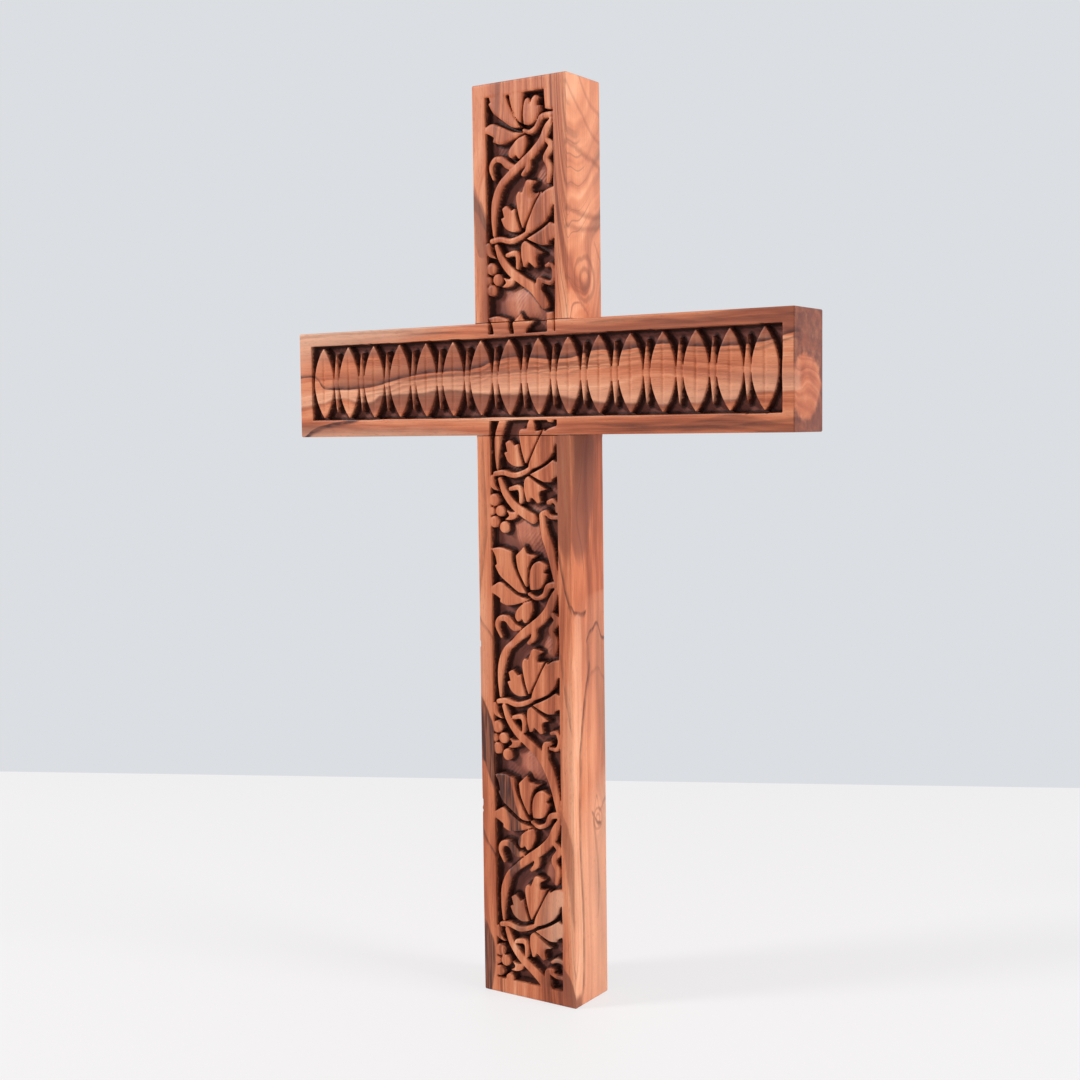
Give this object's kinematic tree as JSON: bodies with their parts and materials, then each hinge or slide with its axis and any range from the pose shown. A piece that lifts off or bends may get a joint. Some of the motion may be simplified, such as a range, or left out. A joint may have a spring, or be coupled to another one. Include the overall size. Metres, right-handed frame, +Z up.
{
  "type": "olive wood cross",
  "caption": "Wall cross of two olive wood beams in a cross-halving joint, front carved with a climbing grapevine and a band of leaves and darts.",
  "frame": {"origin": "middle of the upright's foot, on the surface that the cross stands on", "axes": "+Z up along the upright, -Y towards the viewer of the carved front, +X along the crossbar to the viewer's right"},
  "size_m": [0.191, 0.02, 0.3],
  "materials": {
    "upright_wood": "oiled olive wood, grain along the upright",
    "crossbar_wood": "oiled olive wood, grain along the crossbar"
  },
  "bodies": {
    "root": {"upright": "upright_wood", "crossbar": "crossbar_wood"}
  },
  "joints": []
}
